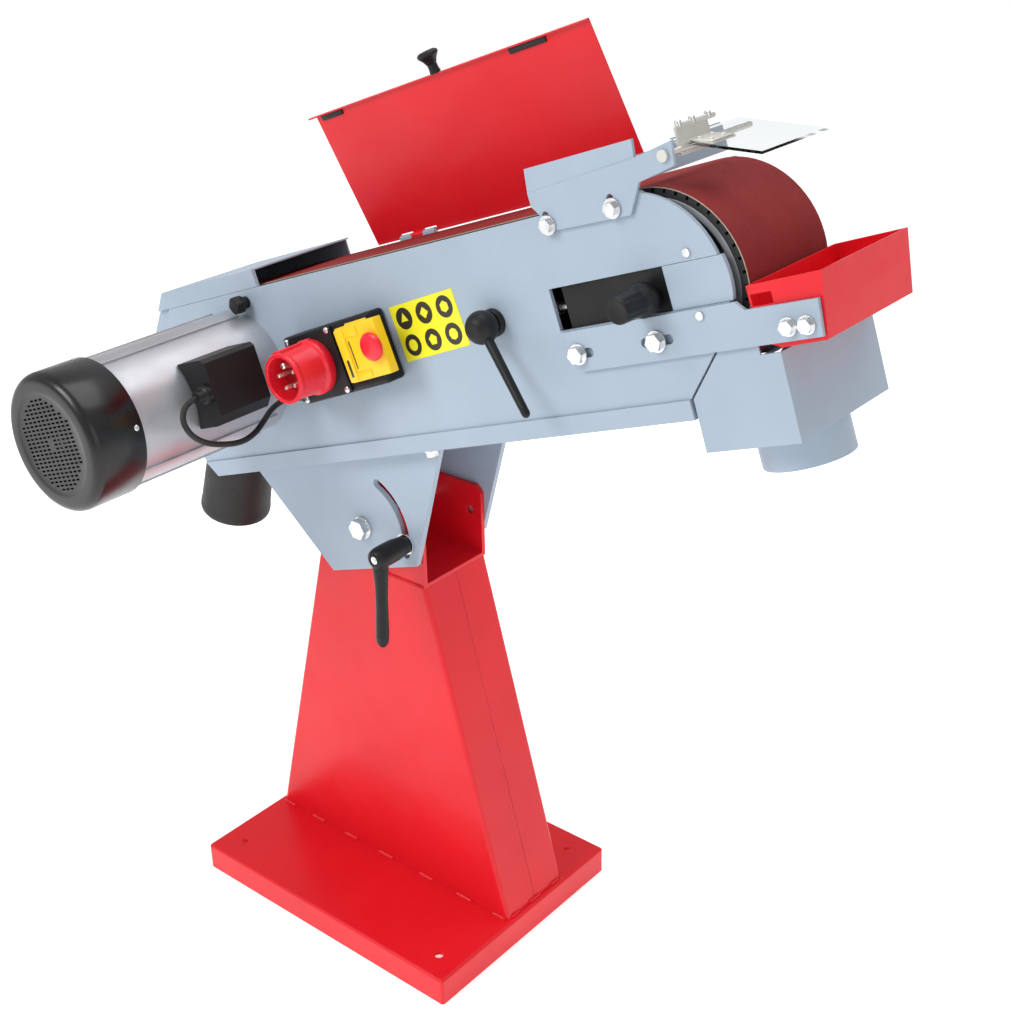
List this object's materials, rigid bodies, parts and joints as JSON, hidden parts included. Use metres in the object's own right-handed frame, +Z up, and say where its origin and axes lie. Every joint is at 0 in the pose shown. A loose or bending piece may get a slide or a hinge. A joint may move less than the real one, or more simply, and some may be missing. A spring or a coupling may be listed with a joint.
{
  "type": "belt grinder",
  "caption": "Pedestal belt grinder: tilting head with motor drive, contact wheel, spark tray, dust outlets, guards and switch on a tapered steel stand.",
  "frame": {"origin": "centre of the base plate's underside, on the floor", "axes": "+Z up, +X from the motor end towards the contact wheel, +Y from the switch and motor side towards the belt door"},
  "size_m": [1.0256, 0.539, 1.2233],
  "materials": {
    "red_paint": "gloss powder coat",
    "grey_paint": "satin powder coat",
    "zinc_steel": "zinc plated",
    "machined_steel": "machined",
    "spring_steel": "drawn wire",
    "graphite": "graphite cloth",
    "cast_aluminium": "cast and machined",
    "tyre_rubber": "matt",
    "belt_cloth": "coated abrasive grain",
    "black_plastic": "satin",
    "black_rubber": "matt",
    "clear_sheet": "clear",
    "light_trim": "satin",
    "red_plastic": "satin",
    "green_plastic": "satin",
    "pin_brass": "nickel plated",
    "yellow_plastic": "satin"
  },
  "bodies": {
    "stand": {"base_plate": "red_paint", "column_near_half": "red_paint", "column_far_half": "red_paint", "yoke": "red_paint", "pivot_bolt": "zinc_steel", "clamp_stud": "zinc_steel"},
    "clamp": {"clamp_lever": "black_plastic"},
    "head": {"main_plate": "grey_paint", "head_floor": "grey_paint", "near_tilt_bracket": "grey_paint", "far_tilt_bracket": "grey_paint", "head_bolts": "zinc_steel", "door_hinges": "zinc_steel", "abrasive_belt": "belt_cloth", "platen_bed": "machined_steel", "platen": "graphite", "guide_strips": "zinc_steel", "tension_spring": "spring_steel", "rear_hood": "grey_paint", "rear_spigot": "black_rubber", "dust_hood": "grey_paint", "dust_spigot": "grey_paint", "motor_end_shields": "cast_aluminium", "motor_body": "cast_aluminium", "motor_stator": "machined_steel", "fan_cover": "black_plastic", "terminal_box": "black_plastic", "cable_glands": "black_plastic", "motor_cable": "black_rubber", "switch_box": "black_plastic", "power_inlet": "red_plastic", "inlet_pins": "pin_brass", "safety_label": "yellow_plastic"},
    "hood_knob_body": {"hood_knob": "black_plastic"},
    "door": {"belt_door": "grey_paint", "cover_hinge_pins": "zinc_steel"},
    "cover": {"top_cover": "red_paint", "cover_handle": "black_plastic"},
    "drive": {"motor_shaft": "machined_steel", "drive_wheel": "machined_steel", "motor_fan": "black_plastic"},
    "carriage": {"axle_carriage": "grey_paint", "carriage_face": "grey_paint", "wheel_axle": "zinc_steel", "tension_rod": "zinc_steel"},
    "wheel": {"contact_wheel": "cast_aluminium", "contact_tyre": "tyre_rubber", "wheel_bearings": "machined_steel"},
    "steering": {"tracking_knob": "black_plastic"},
    "tension": {"tension_lever": "black_plastic"},
    "shield_mount": {"upper_bracket": "grey_paint"},
    "shield": {"spark_shield": "clear_sheet", "shield_hinge": "light_trim"},
    "rest": {"rest_arm": "grey_paint", "tray_bolts": "zinc_steel"},
    "tray": {"spark_tray": "red_paint"},
    "flap": {"switch_flap": "yellow_plastic"},
    "mushroom": {"stop_mushroom": "red_plastic"},
    "start": {"start_button": "green_plastic"},
    "stop": {"stop_button": "red_plastic"}
  },
  "joints": [
    {"name": "head_tilt", "type": "hinge", "parent": "stand", "child": "head", "pos_m": [0, 0.028, 0.58], "axis": [0, 1, 0], "range_deg": [-10, 65]},
    {"name": "clamp_turn", "type": "hinge", "parent": "stand", "child": "clamp", "pos_m": [0.076, 0.028, 0.58], "axis": [0, 1, 0], "range_deg": [-45, 45]},
    {"name": "hood_knob_turn", "type": "hinge", "parent": "head", "child": "hood_knob_body", "pos_m": [-0.16433, -0.067, 0.85753], "axis": [0, 1, 0], "range_deg": [-180, 180]},
    {"name": "door_swing", "type": "hinge", "parent": "head", "child": "door", "pos_m": [0.14655, 0.1211, 0.76211], "axis": [0.9397, 0, 0.342], "range_deg": [-100, 0]},
    {"name": "cover_swing", "type": "hinge", "parent": "door", "child": "cover", "pos_m": [0.11095, 0.1211, 0.97688], "axis": [0.9397, 0, 0.342], "range_deg": [0, 78]},
    {"name": "drive_spin", "type": "hinge", "parent": "head", "child": "drive", "pos_m": [-0.17985, 0.028, 0.76143], "axis": [0, 1, 0], "continuous": true},
    {"name": "tension_swing", "type": "hinge", "parent": "head", "child": "tension", "pos_m": [0.24954, -0.082, 0.91772], "axis": [0, 1, 0], "range_deg": [0, 70]},
    {"name": "carriage_slide", "type": "slide", "parent": "head", "child": "carriage", "axis": [0.9397, 0, 0.342], "range_m": [-0.012, 0]},
    {"name": "wheel_spin", "type": "hinge", "parent": "carriage", "child": "wheel", "pos_m": [0.46285, 0.028, 0.99535], "axis": [0, 1, 0], "continuous": true},
    {"name": "tracking_turn", "type": "hinge", "parent": "carriage", "child": "steering", "pos_m": [0.45423, -0.082, 0.98689], "axis": [0, 1, 0], "range_deg": [-180, 180]},
    {"name": "shield_mount_slide", "type": "slide", "parent": "head", "child": "shield_mount", "axis": [-0.342, 0, 0.9397], "range_m": [-0.005, 0.006]},
    {"name": "shield_swing", "type": "hinge", "parent": "shield_mount", "child": "shield", "pos_m": [0.47063, 0.028, 1.13333], "axis": [0, 1, 0], "range_deg": [-70, 20]},
    {"name": "rest_slide", "type": "slide", "parent": "head", "child": "rest", "axis": [0.9397, 0, 0.342], "range_m": [-0.002, 0.015]},
    {"name": "tray_tilt", "type": "hinge", "parent": "rest", "child": "tray", "pos_m": [0.61685, 0.028, 0.99181], "axis": [0, 1, 0], "range_deg": [0, 8]},
    {"name": "flap_swing", "type": "hinge", "parent": "head", "child": "flap", "pos_m": [0.06416, -0.0936, 0.8879], "axis": [0.9164, 0, 0.4003], "range_deg": [-100, 0]},
    {"name": "mushroom_press", "type": "slide", "parent": "flap", "child": "mushroom", "axis": [0, 1, 0], "range_m": [0, 0.0025], "stiffness_N_per_m": 600},
    {"name": "start_press", "type": "slide", "parent": "head", "child": "start", "axis": [0, 1, 0], "range_m": [0, 0.003], "stiffness_N_per_m": 600},
    {"name": "stop_press", "type": "slide", "parent": "head", "child": "stop", "axis": [0, 1, 0], "range_m": [0, 0.003], "stiffness_N_per_m": 600}
  ],
  "couplings": [
    {"joint": "tension_swing", "follows": "carriage_slide", "rad_per_m": -101.8},
    {"joint": "wheel_spin", "follows": "drive_spin", "ratio": 1}
  ]
}
